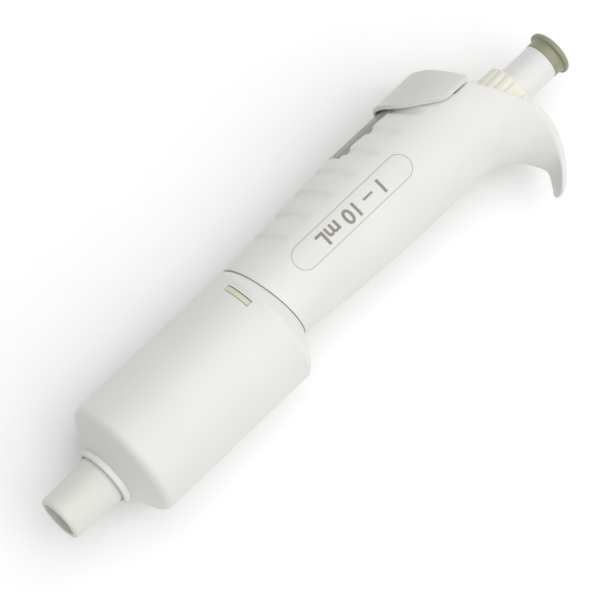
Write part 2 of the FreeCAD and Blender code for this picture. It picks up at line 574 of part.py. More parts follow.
def plunger_pieces():
    node("piston", turned([
        ("operating_radius + pressed", "piston_start"), ("groove_radius - 1", "piston_start"),
        ("groove_radius", "piston_start + 0.6"), ("groove_radius", "seal_high"), ("piston_radius", "seal_high"),
        ("piston_radius", "piston_end - 1"), ("piston_radius - 1", "piston_end"),
        ("operating_radius + pressed", "piston_end")]))
    node("piston_seal", tube("seal_radius", "groove_radius + pressed", "seal_low", "seal_high - pressed"))
    node("seal_retainer", tube("piston_radius - 0.3", "groove_radius + pressed", "piston_start + 0.7",
                               "seal_low - pressed"))
    node("operating_rod", cylinder("operating_radius", "piston_start", "rod_end"))
    node("striker_cup", turned([
        ("operating_radius + pressed", "cup_end - 2"), ("cup_inner", "cup_end - 2"), ("cup_inner", "cup_start"),
        ("cup_outer", "cup_start"), ("cup_outer", "cup_end"), ("operating_radius + pressed", "cup_end")]))
    node("stop_collar", tube("stop_radius", "operating_radius + pressed", "nut_start - 3", "nut_start"))
    node("push_rod", turned([
        ("operating_radius + pressed", "push_start"), ("push_radius", "push_start"), ("push_radius", "push_end"),
        ("push_radius - 1.5", "push_end"), ("push_radius - 1.5", "rod_end + 0.5"),
        ("operating_radius + pressed", "rod_end + 0.5")]))
    node("push_button", turned([
        ("0", "push_end - 6"), ("push_radius - 1.52", "push_end - 6"), ("push_radius - 1.52", "push_end"),
        ("push_radius + 0.15", "push_end"), ("push_radius + 0.15", "flange_low - 0.6"),
        ("push_radius + 0.5", "flange_low"), ("flange_radius - 0.4", "flange_low"),
        ("flange_radius", "flange_low + 0.4"), ("flange_radius", "flange_low + 1.1"),
        ("flange_radius - 0.8", "flange_low + 1.9"), ("flange_radius - 3", "button_end - 0.4"),
        ("0", "button_end")]))
    node("piston_spring", spring("main_radius", "main_wire", "plate_high", "cup_end - 2 - plate_high", 10))
    node("blowout_spring", spring("blow_radius", "blow_wire", "plate_high", "blow_length", 4))


# ---- build, test and write -----------------------------------------------------------------------------

for make in (nozzle_pieces, ejector_pieces, handle_pieces, chassis_pieces, counter_pieces, setting_pieces,
             plunger_pieces):
    make()
document.recompute()
for item, place in nodes:
    lay_down(item, place)
document.recompute()
for item in document.Objects:
    if "Invalid" in item.State or "Error" in item.State:
        raise RuntimeError(f"{item.Label} failed: {item.State}")
for item, place in nodes:
    if item.Shape.isNull() or not item.Shape.isValid() or not item.Shape.Solids:
        raise RuntimeError(f"{item.Label} has no valid solid")
os.makedirs("parts", exist_ok=True)
for item, place in nodes:
    item.Shape.exportStep(f"parts/{item.Label}.step")
    print(item.Label, len(item.Shape.Solids), round(item.Shape.Volume, 1))
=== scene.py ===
import json
import math

import bmesh
import bpy
import numpy as np
from mathutils import Matrix, Vector


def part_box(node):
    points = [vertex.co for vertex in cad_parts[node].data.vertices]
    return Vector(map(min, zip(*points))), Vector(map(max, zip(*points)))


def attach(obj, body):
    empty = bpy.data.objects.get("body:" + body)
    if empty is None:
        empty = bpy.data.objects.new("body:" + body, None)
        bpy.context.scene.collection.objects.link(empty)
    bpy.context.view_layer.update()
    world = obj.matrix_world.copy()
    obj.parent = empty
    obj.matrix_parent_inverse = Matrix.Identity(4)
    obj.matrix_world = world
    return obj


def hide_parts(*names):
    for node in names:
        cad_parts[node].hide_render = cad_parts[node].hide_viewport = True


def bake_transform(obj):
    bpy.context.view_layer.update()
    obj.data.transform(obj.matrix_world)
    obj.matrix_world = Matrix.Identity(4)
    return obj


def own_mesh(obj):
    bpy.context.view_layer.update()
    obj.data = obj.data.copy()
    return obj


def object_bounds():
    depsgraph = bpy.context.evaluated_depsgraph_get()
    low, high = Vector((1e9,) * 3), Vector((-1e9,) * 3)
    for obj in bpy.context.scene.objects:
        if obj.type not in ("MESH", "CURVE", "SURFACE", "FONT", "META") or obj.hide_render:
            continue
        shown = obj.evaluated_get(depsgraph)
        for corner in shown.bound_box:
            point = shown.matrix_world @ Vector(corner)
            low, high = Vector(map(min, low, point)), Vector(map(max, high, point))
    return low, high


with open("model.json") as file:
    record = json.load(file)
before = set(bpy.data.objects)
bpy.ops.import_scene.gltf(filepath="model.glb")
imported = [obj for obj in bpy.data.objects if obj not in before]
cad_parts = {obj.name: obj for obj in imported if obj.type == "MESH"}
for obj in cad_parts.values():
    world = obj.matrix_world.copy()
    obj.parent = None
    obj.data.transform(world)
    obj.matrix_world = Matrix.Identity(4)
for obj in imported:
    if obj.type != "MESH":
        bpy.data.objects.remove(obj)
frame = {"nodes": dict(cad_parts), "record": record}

# A large-volume micropipette lying on its side: +X from nozzle to push button, +Y to the display, +Z up.
# Shapes are worked out in millimetres as (along the axis, towards the display, up) and stored in metres.

MM = 0.001
CAD_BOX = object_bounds()
AROUND = 192  # columns round a turned piece


# ---- mesh helpers --------------------------------------------------------------------------------------

def mesh_piece(name, points, faces):
    """A new object from points in millimetres."""
    mesh = bpy.data.meshes.new(name)
    mesh.from_pydata([tuple(c * MM for c in p) for p in points], [], faces)
    mesh.validate()
    piece = bpy.data.objects.new(name, mesh)
    bpy.context.scene.collection.objects.link(piece)
    return piece


def turn_angles(columns):
    """Evenly spaced angles round a piece, starting at the display side."""
    return np.arange(columns) * 2 * math.pi / columns


def grid_faces(rows, columns, close_rows=False):
    """Quads of a grid that is closed round its columns, and if asked along its rows too."""
    faces = []
    for row in range(rows if close_rows else rows - 1):
        for column in range(columns):
            a = row * columns + column
            b = row * columns + (column + 1) % columns
            c = ((row + 1) % rows) * columns + (column + 1) % columns
            d = ((row + 1) % rows) * columns + column
            faces.append((a, d, c, b))
    return faces


def ring_grid(name, rows_of_points):
    """A tube-like closed skin from rows of points, the last row joined to the first."""
    faces = grid_faces(len(rows_of_points), len(rows_of_points[0]), True)
    return tidy(mesh_piece(name, [p for row in rows_of_points for p in row], faces))


def capped_grid(name, rows_of_points):
    """A closed skin from rows of points with a flat end at each side."""
    rows, columns = len(rows_of_points), len(rows_of_points[0])
    faces = grid_faces(rows, columns)
    faces.append(tuple(range(columns)))
    faces.append(tuple(reversed(range((rows - 1) * columns, rows * columns))))
    return tidy(mesh_piece(name, [p for row in rows_of_points for p in row], faces))


def tidy(piece):
    """Joins doubled points and points every face outwards."""
    shape = bmesh.new()
    shape.from_mesh(piece.data)
    bmesh.ops.remove_doubles(shape, verts=shape.verts, dist=1e-7)
    bmesh.ops.recalc_face_normals(shape, faces=shape.faces)
    shape.to_mesh(piece.data)
    shape.free()
    return piece


def rounded(outline, radius, steps=5):
    """An outline with each corner turned into a short curve."""
    points = []
    count = len(outline)
    for index in range(count):
        before, corner, after = (np.array(outline[(index + k) % count][:2], float) for k in (-1, 0, 1))
        bend = outline[index][2] if len(outline[index]) > 2 else radius
        start = corner + (before - corner) * min(0.45, bend / max(np.linalg.norm(before - corner), 1e-9))
        end = corner + (after - corner) * min(0.45, bend / max(np.linalg.norm(after - corner), 1e-9))
        for step in range(steps + 1):
            t = step / steps
            points.append((1 - t) ** 2 * start + 2 * t * (1 - t) * corner + t ** 2 * end)
    return points


def lathe(name, outline, radius=0.3, columns=AROUND, wave=None):
    """A piece turned about the axis from an outline of (radius, distance along)."""
    rows = []
    for r, along in rounded(outline, radius):
        row = []
        for column in range(columns):
            angle = 2 * math.pi * column / columns
            reach = r + (wave(r, along, angle) if wave else 0.0)
            row.append((along, reach * math.cos(angle), reach * math.sin(angle)))
        rows.append(row)
    return shade(ring_grid(name, rows))


def block(name, low, high):
    """A plain cutter between two corners, in millimetres."""
    corners = [(x, y, z) for x in (low[0], high[0]) for y in (low[1], high[1]) for z in (low[2], high[2])]
    faces = [(0, 1, 3, 2), (4, 6, 7, 5), (0, 4, 5, 1), (2, 3, 7, 6), (0, 2, 6, 4), (1, 5, 7, 3)]
    return tidy(mesh_piece(name, corners, faces))


def prism(name, outline, half_width):
    """A cutter with a side view outline of (along, front), as wide on both sides."""
    rows = [[(along, front, side) for along, front in outline] for side in (-half_width, half_width)]
    return capped_grid(name, rows)


def combine(piece, tool, operation):
    """Cuts, joins or intersects a piece with another closed one, which is then removed."""
    modifier = piece.modifiers.new("combine", "BOOLEAN")
    modifier.operation = operation
    modifier.solver = "MANIFOLD"
    modifier.object = tool
    bake(piece)
    bpy.data.objects.remove(tool)
    return piece


def bake(piece):
    """Applies a piece's modifiers to its mesh."""
    bpy.context.view_layer.update()
    seen = piece.evaluated_get(bpy.context.evaluated_depsgraph_get())
    mesh = bpy.data.meshes.new_from_object(seen)
    piece.modifiers.clear()
    piece.data = mesh
    return piece


def copy(piece, name):
    """A second object with its own copy of the mesh."""
    twin = bpy.data.objects.new(name, piece.data.copy())
    bpy.context.scene.collection.objects.link(twin)
    return twin


def knead(piece, voxel, rounds):
    """Fuses overlapping skins into one and rounds every edge softly."""
    remesh = piece.modifiers.new("remesh", "REMESH")
    remesh.mode = "VOXEL"
    remesh.voxel_size = voxel * MM
    bake(piece)
    return soften(piece, rounds)


def soften(piece, rounds, weight=None):
    """Smooths a skin, or only where a weight between 0 and 1 says so."""
    smooth = piece.modifiers.new("smooth", "SMOOTH")
    smooth.factor = 0.5
    smooth.iterations = rounds
    if weight:
        group = piece.vertex_groups.new(name="soft")
        for vertex in piece.data.vertices:
            share = weight(*(c / MM for c in vertex.co))
            if share > 0.01:
                group.add([vertex.index], share, "REPLACE")
        smooth.vertex_group = "soft"
    bake(piece)
    piece.vertex_groups.clear()
    return piece


def join(first, *others):
    """Puts the meshes of several objects into the first one."""
    shape = bmesh.new()
    shape.from_mesh(first.data)
    for other in others:
        shape.from_mesh(other.data)
        bpy.data.objects.remove(other)
    shape.to_mesh(first.data)
    shape.free()
    return first


def shade(piece, angle=35.0):
    """Smooth shading with crisp edges left where faces meet sharply."""
    mesh = piece.data
    mesh.polygons.foreach_set("use_smooth", [True] * len(mesh.polygons))
    mesh.set_sharp_from_angle(angle=math.radians(angle))
    return piece


def curve_through(places, values):
    """A smooth function through given values, by cubic steps with averaged slopes."""
    places, values = np.array(places, float), np.array(values, float)
    slopes = np.gradient(values, places)

    def value(x):
        x = np.clip(x, places[0], places[-1])
        i = np.clip(np.searchsorted(places, x) - 1, 0, len(places) - 2)
        width = places[i + 1] - places[i]
        t = (x - places[i]) / width
        a = (2 * t**3 - 3 * t**2 + 1) * values[i] + (t**3 - 2 * t**2 + t) * width * slopes[i]
        return a + (3 * t**2 - 2 * t**3) * values[i + 1] + (t**3 - t**2) * width * slopes[i + 1]

    return value


# ---- materials -----------------------------------------------------------------------------------------

MOTTLE_SCALE = 60.0
GLOSS_SPREAD = 0.06
GRAIN_DEPTH = 0.0002
ALONG = (0.04, 1.0, 1.0)  # grain drawn out along the axis
ROUND = (1.0, 0.04, 0.04)  # turning marks round the axis


def material(name, colour, roughness, spread, grain, bump, specular=0.5, metallic=0.0, stretch=(1.0, 1.0, 1.0)):
    """A procedural finish: colour mottled a little, uneven gloss and a fine moulded or turned grain."""
    finish = bpy.data.materials.new(name)
    finish.use_nodes = True
    nodes, links = finish.node_tree.nodes, finish.node_tree.links
    shader = nodes["Principled BSDF"]
    shader.inputs["Metallic"].default_value = metallic
    shader.inputs["Specular IOR Level"].default_value = specular
    place = nodes.new("ShaderNodeTexCoord")
    mapping = nodes.new("ShaderNodeMapping")
    mapping.inputs["Scale"].default_value = stretch
    links.new(place.outputs["Object"], mapping.inputs["Vector"])
    cloud = nodes.new("ShaderNodeTexNoise")
    cloud.inputs["Scale"].default_value = MOTTLE_SCALE
    cloud.inputs["Detail"].default_value = 4.0
    fine = nodes.new("ShaderNodeTexNoise")
    fine.inputs["Scale"].default_value = grain
    fine.inputs["Detail"].default_value = 3.0
    for noise in (cloud, fine):
        links.new(mapping.outputs["Vector"], noise.inputs["Vector"])
    tint = nodes.new("ShaderNodeValToRGB")
    for stop, position, share in zip(tint.color_ramp.elements, (0.3, 0.7), (1 - spread, 1 + spread)):
        stop.position = position
        stop.color = (*[min(1.0, c * share) for c in colour], 1)
    links.new(cloud.outputs["Fac"], tint.inputs["Fac"])
    links.new(tint.outputs["Color"], shader.inputs["Base Color"])
    gloss = nodes.new("ShaderNodeMapRange")
    gloss.inputs["To Min"].default_value = max(0.02, roughness - GLOSS_SPREAD)
    gloss.inputs["To Max"].default_value = roughness + GLOSS_SPREAD
    links.new(fine.outputs["Fac"], gloss.inputs["Value"])
    links.new(gloss.outputs["Result"], shader.inputs["Roughness"])
    relief = nodes.new("ShaderNodeBump")
    relief.inputs["Strength"].default_value = bump
    relief.inputs["Distance"].default_value = GRAIN_DEPTH
    links.new(fine.outputs["Fac"], relief.inputs["Height"])
    links.new(relief.outputs["Normal"], shader.inputs["Normal"])
    return finish


def window_material():
    """Smoked clear plastic, tan grey, slightly uneven."""
    finish = material("smoked_window", (0.36, 0.345, 0.285), 0.14, 0.04, 300, 0.01)
    finish.node_tree.nodes["Principled BSDF"].inputs["Alpha"].default_value = 0.6
    return finish


# name, colour, roughness, mottling, grain scale, grain strength
FINISHES = {
    "sleeve_white": material("moulded_sleeve_white", (0.715, 0.715, 0.69), 0.42, 0.015, 1400, 0.05),
    "nozzle_grey": material("moulded_nozzle_grey", (0.68, 0.68, 0.63), 0.46, 0.03, 1000, 0.08),
    "grip_white": material("moulded_grip_white", (0.71, 0.71, 0.68), 0.45, 0.015, 1500, 0.06),
    "button_grey": material("moulded_button_grey", (0.64, 0.635, 0.60), 0.42, 0.02, 1400, 0.06),
    "ring_ivory": material("moulded_ring_ivory", (0.76, 0.735, 0.65), 0.48, 0.03, 1200, 0.08),
    "rod_white": material("drawn_rod_white", (0.70, 0.70, 0.69), 0.30, 0.01, 900, 0.03, stretch=ALONG),
    "cap_olive": material("moulded_cap_olive", (0.28, 0.28, 0.19), 0.36, 0.04, 1200, 0.05),
    "latch_cream": material("moulded_latch_cream", (0.66, 0.67, 0.50), 0.45, 0.02, 1200, 0.06),
    "label_white": material("label_film_white", (0.69, 0.69, 0.66), 0.36, 0.01, 1500, 0.03),
    "inner_plastic": material("filled_inner_plastic", (0.055, 0.058, 0.064), 0.5, 0.1, 900, 0.12),
    "drum_white": material("digit_drum_white", (0.82, 0.82, 0.79), 0.4, 0.01, 1200, 0.03),
    "steel": material("turned_steel", (0.56, 0.57, 0.59), 0.28, 0.05, 900, 0.08, metallic=1.0, stretch=ROUND),
    "brass_gear": material("cut_brass", (0.70, 0.50, 0.20), 0.32, 0.06, 900, 0.08, metallic=1.0),
    "seal_rubber": material("nitrile_rubber", (0.02, 0.02, 0.021), 0.62, 0.1, 900, 0.1, specular=0.35),
    "seal_ptfe": material("ptfe_lip", (0.78, 0.78, 0.74), 0.4, 0.02, 900, 0.04),
    "filter_felt": material("sintered_filter", (0.60, 0.60, 0.55), 0.9, 0.2, 1800, 0.5, specular=0.2),
    "window_smoke": window_material(),
}
INK = material("black_ink", (0.05, 0.05, 0.05), 0.5, 0.15, 900, 0.03)
GREY_INK = material("grey_ink", (0.27, 0.255, 0.205), 0.45, 0.08, 900, 0.03)
SLOT_OF = {row["node"]: row["material_slot"] for row in frame["record"]["subparts"]}


def finish_piece(piece, body, slot, replaced=(), paint=None):
    """Gives a piece its finish and its body, and hides the CAD nodes it stands in for."""
    piece.data.materials.clear()
    piece.data.materials.append(paint or FINISHES[slot])
    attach(piece, body)
    if replaced:
        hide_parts(*replaced)
    return piece


# ---- grip ----------------------------------------------------------------------------------------------

# the grip's oval section: heights, then the middle's offset to the front, the half depth and the half width there
OVALS = ([94, 117, 142, 166, 190, 214], [5.5, 5.35, 5.35, 5.2, 5.15, 5.1], [16.2, 17.85, 19.4, 19.6, 19.4, 19.0],
         [16.2, 16.8, 17.2, 17.2, 17.0, 16.6])
GRIP_CENTRE, GRIP_DEPTH, GRIP_WIDTH = (curve_through(OVALS[0], values) for values in OVALS[1:])
SKIN_LOW, SKIN_HIGH, SKIN_COLUMNS = 94, 213, 160
RIM_CENTRE, RIM_RADIUS, RIM_PLACE, RIM_TILT = 5.5, 16.4, 98.1, math.radians(10)
RIM_GAP, BASE_TILT = 0.45, math.radians(8.8)  # the grip's base, a little less slanted than the barrel's rim
STEP_FRONT = 12.0  # how far to the front the step under the ejector button lies
WINDOW = (148.4, 173.4, 7.75)  # low end, high end, half width
PANE_GAP = 0.12
LABEL = (110.4, 163.0, 6.8, 4.65)  # low end, high end, front, half width
LABEL_GAP, LABEL_DEPTH = 0.14, 0.8
WORDS_PLACE = (0.1365, 0.0068, 0.012)
WALL = 2.0
SEAM = 0.02  # half the gap between the grip's halves
THROAT = 10.2  # radius of the hole in the top, for the adjusting ring
GRIP_SPAN = 25  # wider than half the grip, for cuts made right across


def grip_skin(name, inset):
    """The grip's oval body, set in all round by a wall's thickness."""
    rows = []
    for along in range(SKIN_LOW, SKIN_HIGH + 1):
        centre = float(GRIP_CENTRE(along))
        depth, width = float(GRIP_DEPTH(along)) - inset, float(GRIP_WIDTH(along)) - inset
        rows.append([(along, centre + depth * math.cos(a), width * math.sin(a)) for a in turn_angles(SKIN_COLUMNS)])
    return capped_grid(name, rows)


def hook_mesh():
    """The finger hook, lofted outwards from inside the grip: flat top, thin edges, a keel that fades out below."""
    reaches = [6.0, 10.5, 14.3, 18.0, 24.0, 30.0, 37.0]
    widths = curve_through(reaches, [13.6, 13.0, 12.2, 11.4, 9.7, 7.8, 5.2])
    tops = curve_through(reaches, [207.9, 209.8, 210.2, 209.9, 208.2, 205.0, 199.0])
    edges = curve_through(reaches, [2.4, 2.4, 2.4, 2.4, 2.5, 2.5, 2.3])
    keels = curve_through(reaches, [171.0, 177.0, 185.6, 193.2, 198.8, 201.2, 196.0])
    blunt_start, blunt_length = 34.9, 2.3
    rows = []
    for reach in np.append(np.arange(6.0, 36.0, 0.5), np.arange(36.0, 37.19, 0.15)):
        width, top, edge, keel = (float(f(reach)) for f in (widths, tops, edges, keels))
        blunt = max(0.0, reach - blunt_start) / blunt_length
        fullness = math.sqrt(max(0.03, 1 - blunt**2))
        width *= fullness
        middle = top - 0.5 * edge
        top, edge, keel = middle + 0.5 * edge * fullness, edge * fullness, middle + (keel - middle) * fullness
        low = top - edge
        row = [(top, width * t) for t in np.linspace(-1, 1, 13)] + [(low, width)]
        row += [(low - (low - keel) * (1 - t * t), width * t) for t in np.linspace(1, -1, 41)[1:]]
        rows.append([(along, -reach, side) for along, side in row])
    return capped_grid("hook", rows)


def hook_root(along, front, side):
    """Where the hook's underside flows into the grip."""
    below_top = min(1.0, max(0.0, (205.5 - along) / 4.0))
    return below_top * math.exp(-(((front + 13.5) / 6.0) ** 2))


def rib_depth(along, front):
    """How deep the slanted finger grooves go at a place on the grip's front."""
    first, pitch, count, deepest = 108.8, 10.53, 7, 0.75
    lowest = first + 4.9 * (24.6 - front) / 7.6  # each groove climbs 4.9 as it goes 7.6 back from the front
    order = np.clip(np.round((along - lowest) / pitch), 0, count - 1)
    away = along - lowest - order * pitch
    notch = np.exp(-((away / 1.5) ** 4)) + 0.25 * np.exp(-(((away + 2.6) / 2.4) ** 2))
    fade = np.clip((front - 14.0) / 4.5, 0, 1)
    return deepest * notch * fade * fade * (3 - 2 * fade)


def carve_ribs(piece):
    """Presses the grooves between the finger ribs into the grip's skin."""
    mesh = piece.data
    count = len(mesh.vertices)
    points = np.empty(count * 3)
    mesh.vertices.foreach_get("co", points)
    points = points.reshape(count, 3) / MM
    centre, depth, width = GRIP_CENTRE(points[:, 0]), GRIP_DEPTH(points[:, 0]), GRIP_WIDTH(points[:, 0])
    outward = np.stack([(points[:, 1] - centre) / depth**2, points[:, 2] / width**2], axis=1)
    outward /= np.maximum(np.linalg.norm(outward, axis=1, keepdims=True), 1e-9)
    points[:, 1:] -= outward * rib_depth(points[:, 0], points[:, 1])[:, None]
    mesh.vertices.foreach_set("co", (points * MM).ravel())
    mesh.update()


def capsule(name, gap):
    """The label's long round-ended outline as an upright prism."""
    low, high, centre, half = LABEL
    reach = half + gap
    outline = []
    for middle, start in ((high - half, -90), (low + half, 90)):
        for turn in np.linspace(0, 180, 33):
            angle = math.radians(start + turn)
            outline.append((middle + reach * math.cos(angle), centre + reach * math.sin(angle)))
    return capped_grid(name, [[(x, y, z) for x, y in outline] for z in (0.0, 30.0)])


def inlay(name, source, outline, depth):
    """A thin plate cut from the grip's own skin, flush with it."""
    plate = combine(copy(source, name), outline, "INTERSECT")
    return combine(plate, grip_skin("core", depth), "DIFFERENCE")


def make_grip():
    """The grip's two halves with hook and ribs, the collar at its foot, the window's lens and the label."""
    solid = grip_skin("grip", 0.0)
    keep = prism("keep", [(80, -30), (80, 35), (162.1, 35), (190.5, STEP_FRONT), (196.6, STEP_FRONT), (207.5, -6),
                          (209.6, -10.5), (209.8, -30)], GRIP_SPAN)
    combine(solid, keep, "INTERSECT")
    join(solid, hook_mesh())
    knead(solid, 0.45, 5)
    soften(solid, 90, hook_root)
    low, high, half = WINDOW
    pane = block("pane", (low + PANE_GAP, 15, -half + PANE_GAP), (high - PANE_GAP, 30, half - PANE_GAP))
    lens = inlay("display_lens", solid, pane, 1.5)
    plate = inlay("label_plate", solid, capsule("pane", -LABEL_GAP), LABEL_DEPTH)
    carve_ribs(solid)
    below = block("below", (-60, -60, -40), (0, 60, 40))
    tilt = Matrix.Rotation(BASE_TILT, 4, "Z")
    below.data.transform(Matrix.Translation(((RIM_PLACE + RIM_GAP) * MM, RIM_CENTRE * MM, 0)) @ tilt)
    combine(solid, below, "DIFFERENCE")
    room = prism("room", [(80, -30), (80, 35), (230, 35), (230, STEP_FRONT), (194.6, STEP_FRONT), (205.2, -6),
                          (205.6, -30)], GRIP_SPAN)
    combine(solid, combine(grip_skin("hollow", WALL), room, "INTERSECT"), "DIFFERENCE")
    combine(solid, block("pane", (low, 15, -half), (high, 30, half)), "DIFFERENCE")
    pocket = combine(capsule("pocket", 0.0), grip_skin("core", LABEL_DEPTH + 0.05), "DIFFERENCE")
    combine(solid, pocket, "DIFFERENCE")
    hole = capped_grid("hole", [[(along, THROAT * math.cos(a), THROAT * math.sin(a)) for a in turn_angles(96)]
                                for along in (190, 230)])
    combine(solid, hole, "DIFFERENCE")
    left = copy(solid, "grip_left")
    solid.name = "grip_right"
    combine(solid, block("half", (80, -60, -40), (230, 60, SEAM)), "DIFFERENCE")
    combine(left, block("half", (80, -60, -SEAM), (230, 60, 40)), "DIFFERENCE")
    collar = lathe("grip_collar", [(13.7, 91.4), (15.2, 91.4), (15.2, 104), (13.7, 104)], 0.3)
    collar.data.transform(Matrix.Translation((0, RIM_CENTRE * MM, 0)))
    finish_piece(shade(solid, 40), "grip", "grip_white", ["handle_shell_right"])
    finish_piece(shade(left, 40), "grip", "grip_white", ["handle_shell_left"])
    finish_piece(collar, "grip", "grip_white")
    finish_piece(shade(lens, 40), "grip", "window_smoke", ["display_window"])
    finish_piece(shade(plate, 40), "grip", "label_white", ["label_inlay"])
    mark_label(plate)


def flat_text(name, words, height, depth, boldness):
    """Letters as a closed mesh, centred, reading along +X with their tops towards +Y."""
    curve = bpy.data.curves.new(name, "FONT")
    curve.body = words
    curve.size = height * MM
    curve.extrude = depth * MM
    curve.align_x = "CENTER"
    curve.align_y = "CENTER"
    curve.offset = boldness * MM
    holder = bpy.data.objects.new(name, curve)
    bpy.context.scene.collection.objects.link(holder)
    bpy.context.view_layer.update()
    mesh = bpy.data.meshes.new_from_object(holder.evaluated_get(bpy.context.evaluated_depsgraph_get()))
    bpy.data.objects.remove(holder)
    piece = bpy.data.objects.new(name, mesh)
    bpy.context.scene.collection.objects.link(piece)
    return piece


def mark_label(plate):
    """The volume range printed on the label, read with the display side down."""
    words = flat_text("words", "1 – 10 mL", 7.4, 10.0, 0.16)
    words.data.transform(Matrix.Rotation(math.pi, 4, "Z"))
    words.data.transform(Matrix.Translation(WORDS_PLACE))
    print_film = copy(plate, "label_marking")
    print_film.data.transform(Matrix.Translation((0, 0, 0.04 * MM)))
    combine(print_film, tidy(words), "INTERSECT")
    finish_piece(print_film, "grip", "label_white", paint=GREY_INK)


# ---- ejector -------------------------------------------------------------------------------------------

BARREL_OUTER, BARREL_INNER = 22.0, 20.4
SHOULDER_START, INNER_START = 93.5, 92.2  # where the slanted shoulder begins, outside and inside
RIM_INNER = 15.5
LATCH_ANGLES = (53.5, -53.5)


def sleeve_rows():
    """Rows of the barrel's skin: out from the lip, up the barrel, over the slanted shoulder and back inside."""
    angles = turn_angles(AROUND)
    rows = []

    def turned(points):
        for r, along in points:
            rows.append([(along, r * math.cos(a), r * math.sin(a)) for a in angles])

    def ends(circle_radius, circle_place, rim_radius, rim_drop):
        """For each angle, a point on the barrel's last circle and the one across from it on the slanted rim."""
        for a in angles:
            rim_y = rim_radius * math.cos(a)
            yield (np.array((circle_place, circle_radius * math.cos(a), circle_radius * math.sin(a))),
                   np.array((RIM_PLACE - rim_drop - rim_y * math.sin(RIM_TILT),
                             RIM_CENTRE + rim_y * math.cos(RIM_TILT), rim_radius * math.sin(a))))

    def shoulder(circle_radius, circle_place, rim_radius, rim_drop, shares):
        for share in shares:
            rows.append([tuple(start + (end - start) * share)
                         for start, end in ends(circle_radius, circle_place, rim_radius, rim_drop)])

    def eased(circle_radius, circle_place, rim_radius, reach, share):
        """A soft corner from the barrel's side into the shoulder."""
        for turn in np.linspace(0, 1, 8):
            row = []
            for corner, end in ends(circle_radius, circle_place, rim_radius, 0.0):
                before, after = corner - (reach, 0, 0), corner + (end - corner) * share
                row.append(tuple(before * (1 - turn)**2 + corner * 2 * turn * (1 - turn) + after * turn**2))
            rows.append(row)

    lip = rounded([(9.35, 19.6, 0.3), (10.85, 19.6, 0.7), (10.85, 21.7, 0.5), (10.2, 21.9, 0.2),
                   (BARREL_OUTER, 27.9, 2.4), (BARREL_OUTER, 60.0, 0.1), (BARREL_OUTER, 91.0, 0.1), (9.0, 91.0, 0.0)],
                  0.3, 7)
    turned([p for p in lip if p[0] > 9.3][:-1])
    eased(BARREL_OUTER, SHOULDER_START, RIM_RADIUS, 1.4, 0.3)
    shoulder(BARREL_OUTER, SHOULDER_START, RIM_RADIUS, 0.0, [0.4, 0.6, 0.8, 0.93, 0.98])
    shoulder(BARREL_OUTER, SHOULDER_START, RIM_RADIUS - 0.25, 0.0, [1.0])
    shoulder(BARREL_INNER, INNER_START, RIM_INNER, -0.05, [1.0])
    shoulder(BARREL_INNER, INNER_START, RIM_INNER, 1.2, [1.0, 0.6, 0.3, 0.0])
    turned([(BARREL_INNER, 60.0), (BARREL_INNER, 29.5), (20.0, 28.8), (9.35, 23.2)])
    return rows


def arc_block(name, inner, outer, low, high, centre, span):
    """A curved tab: a stretch of a ring, centred on an angle from the display side."""
    angles = np.radians(np.linspace(centre - span / 2, centre + span / 2, 25))
    outline = [(outer, a) for a in angles] + [(inner, a) for a in angles[::-1]]
    rows = [[(along, r * math.cos(a), r * math.sin(a)) for r, a in outline] for along in (low, high)]
    return capped_grid(name, rows)


def make_ejector():
    """The barrel with room for the grip's collar and slots for the two latch tabs, and the button."""
    sleeve = ring_grid("ejector_barrel", sleeve_rows())
    room = lathe("collar_room", [(0.01, 88.0), (15.35, 88.0), (15.35, 94.6), (0.01, 94.6)], 0.1)
    room.data.transform(Matrix.Translation((0, RIM_CENTRE * MM, 0)))
    combine(sleeve, room, "DIFFERENCE")
    for centre in LATCH_ANGLES:
        combine(sleeve, arc_block("slot", 19, 24, 88.3, 90.7, centre, 30.4), "DIFFERENCE")
    finish_piece(shade(sleeve, 30), "tip_ejector", "sleeve_white", ["ejector_sleeve"])
    button = make_hood()
    finish_piece(shade(button, 60), "tip_ejector", "button_grey", ["ejector_button"])


HOOD_CENTRE, HOOD_DEPTH, HOOD_WIDTH = 5.2, 21.7, 19.4
BEVEL = 0.8


def oval_bar(name, depth, width, low, high):
    """A straight bar with the button's oval section."""
    return capped_grid(name, [[(along, HOOD_CENTRE + depth * math.cos(a), width * math.sin(a))
                               for a in turn_angles(240)] for along in (low, high)])


def set_in(outline, gap):
    """An outline with every edge moved inwards by a gap."""
    corners = [np.array(corner[:2], float) for corner in outline]
    count = len(corners)
    moved = []
    for index in range(count):
        before, here, after = corners[index - 1], corners[index], corners[(index + 1) % count]
        normals = []
        for a, b in ((before, here), (here, after)):
            run = (b - a) / np.linalg.norm(b - a)
            normals.append(np.array((run[1], -run[0])))
        middle = sum(corners) / count
        normals = [n if np.dot(n, middle - here) > 0 else -n for n in normals]
        share = gap / (1 + float(np.dot(*normals)))
        moved.append((*(here + share * (normals[0] + normals[1])), *outline[index][2:]))
    return moved


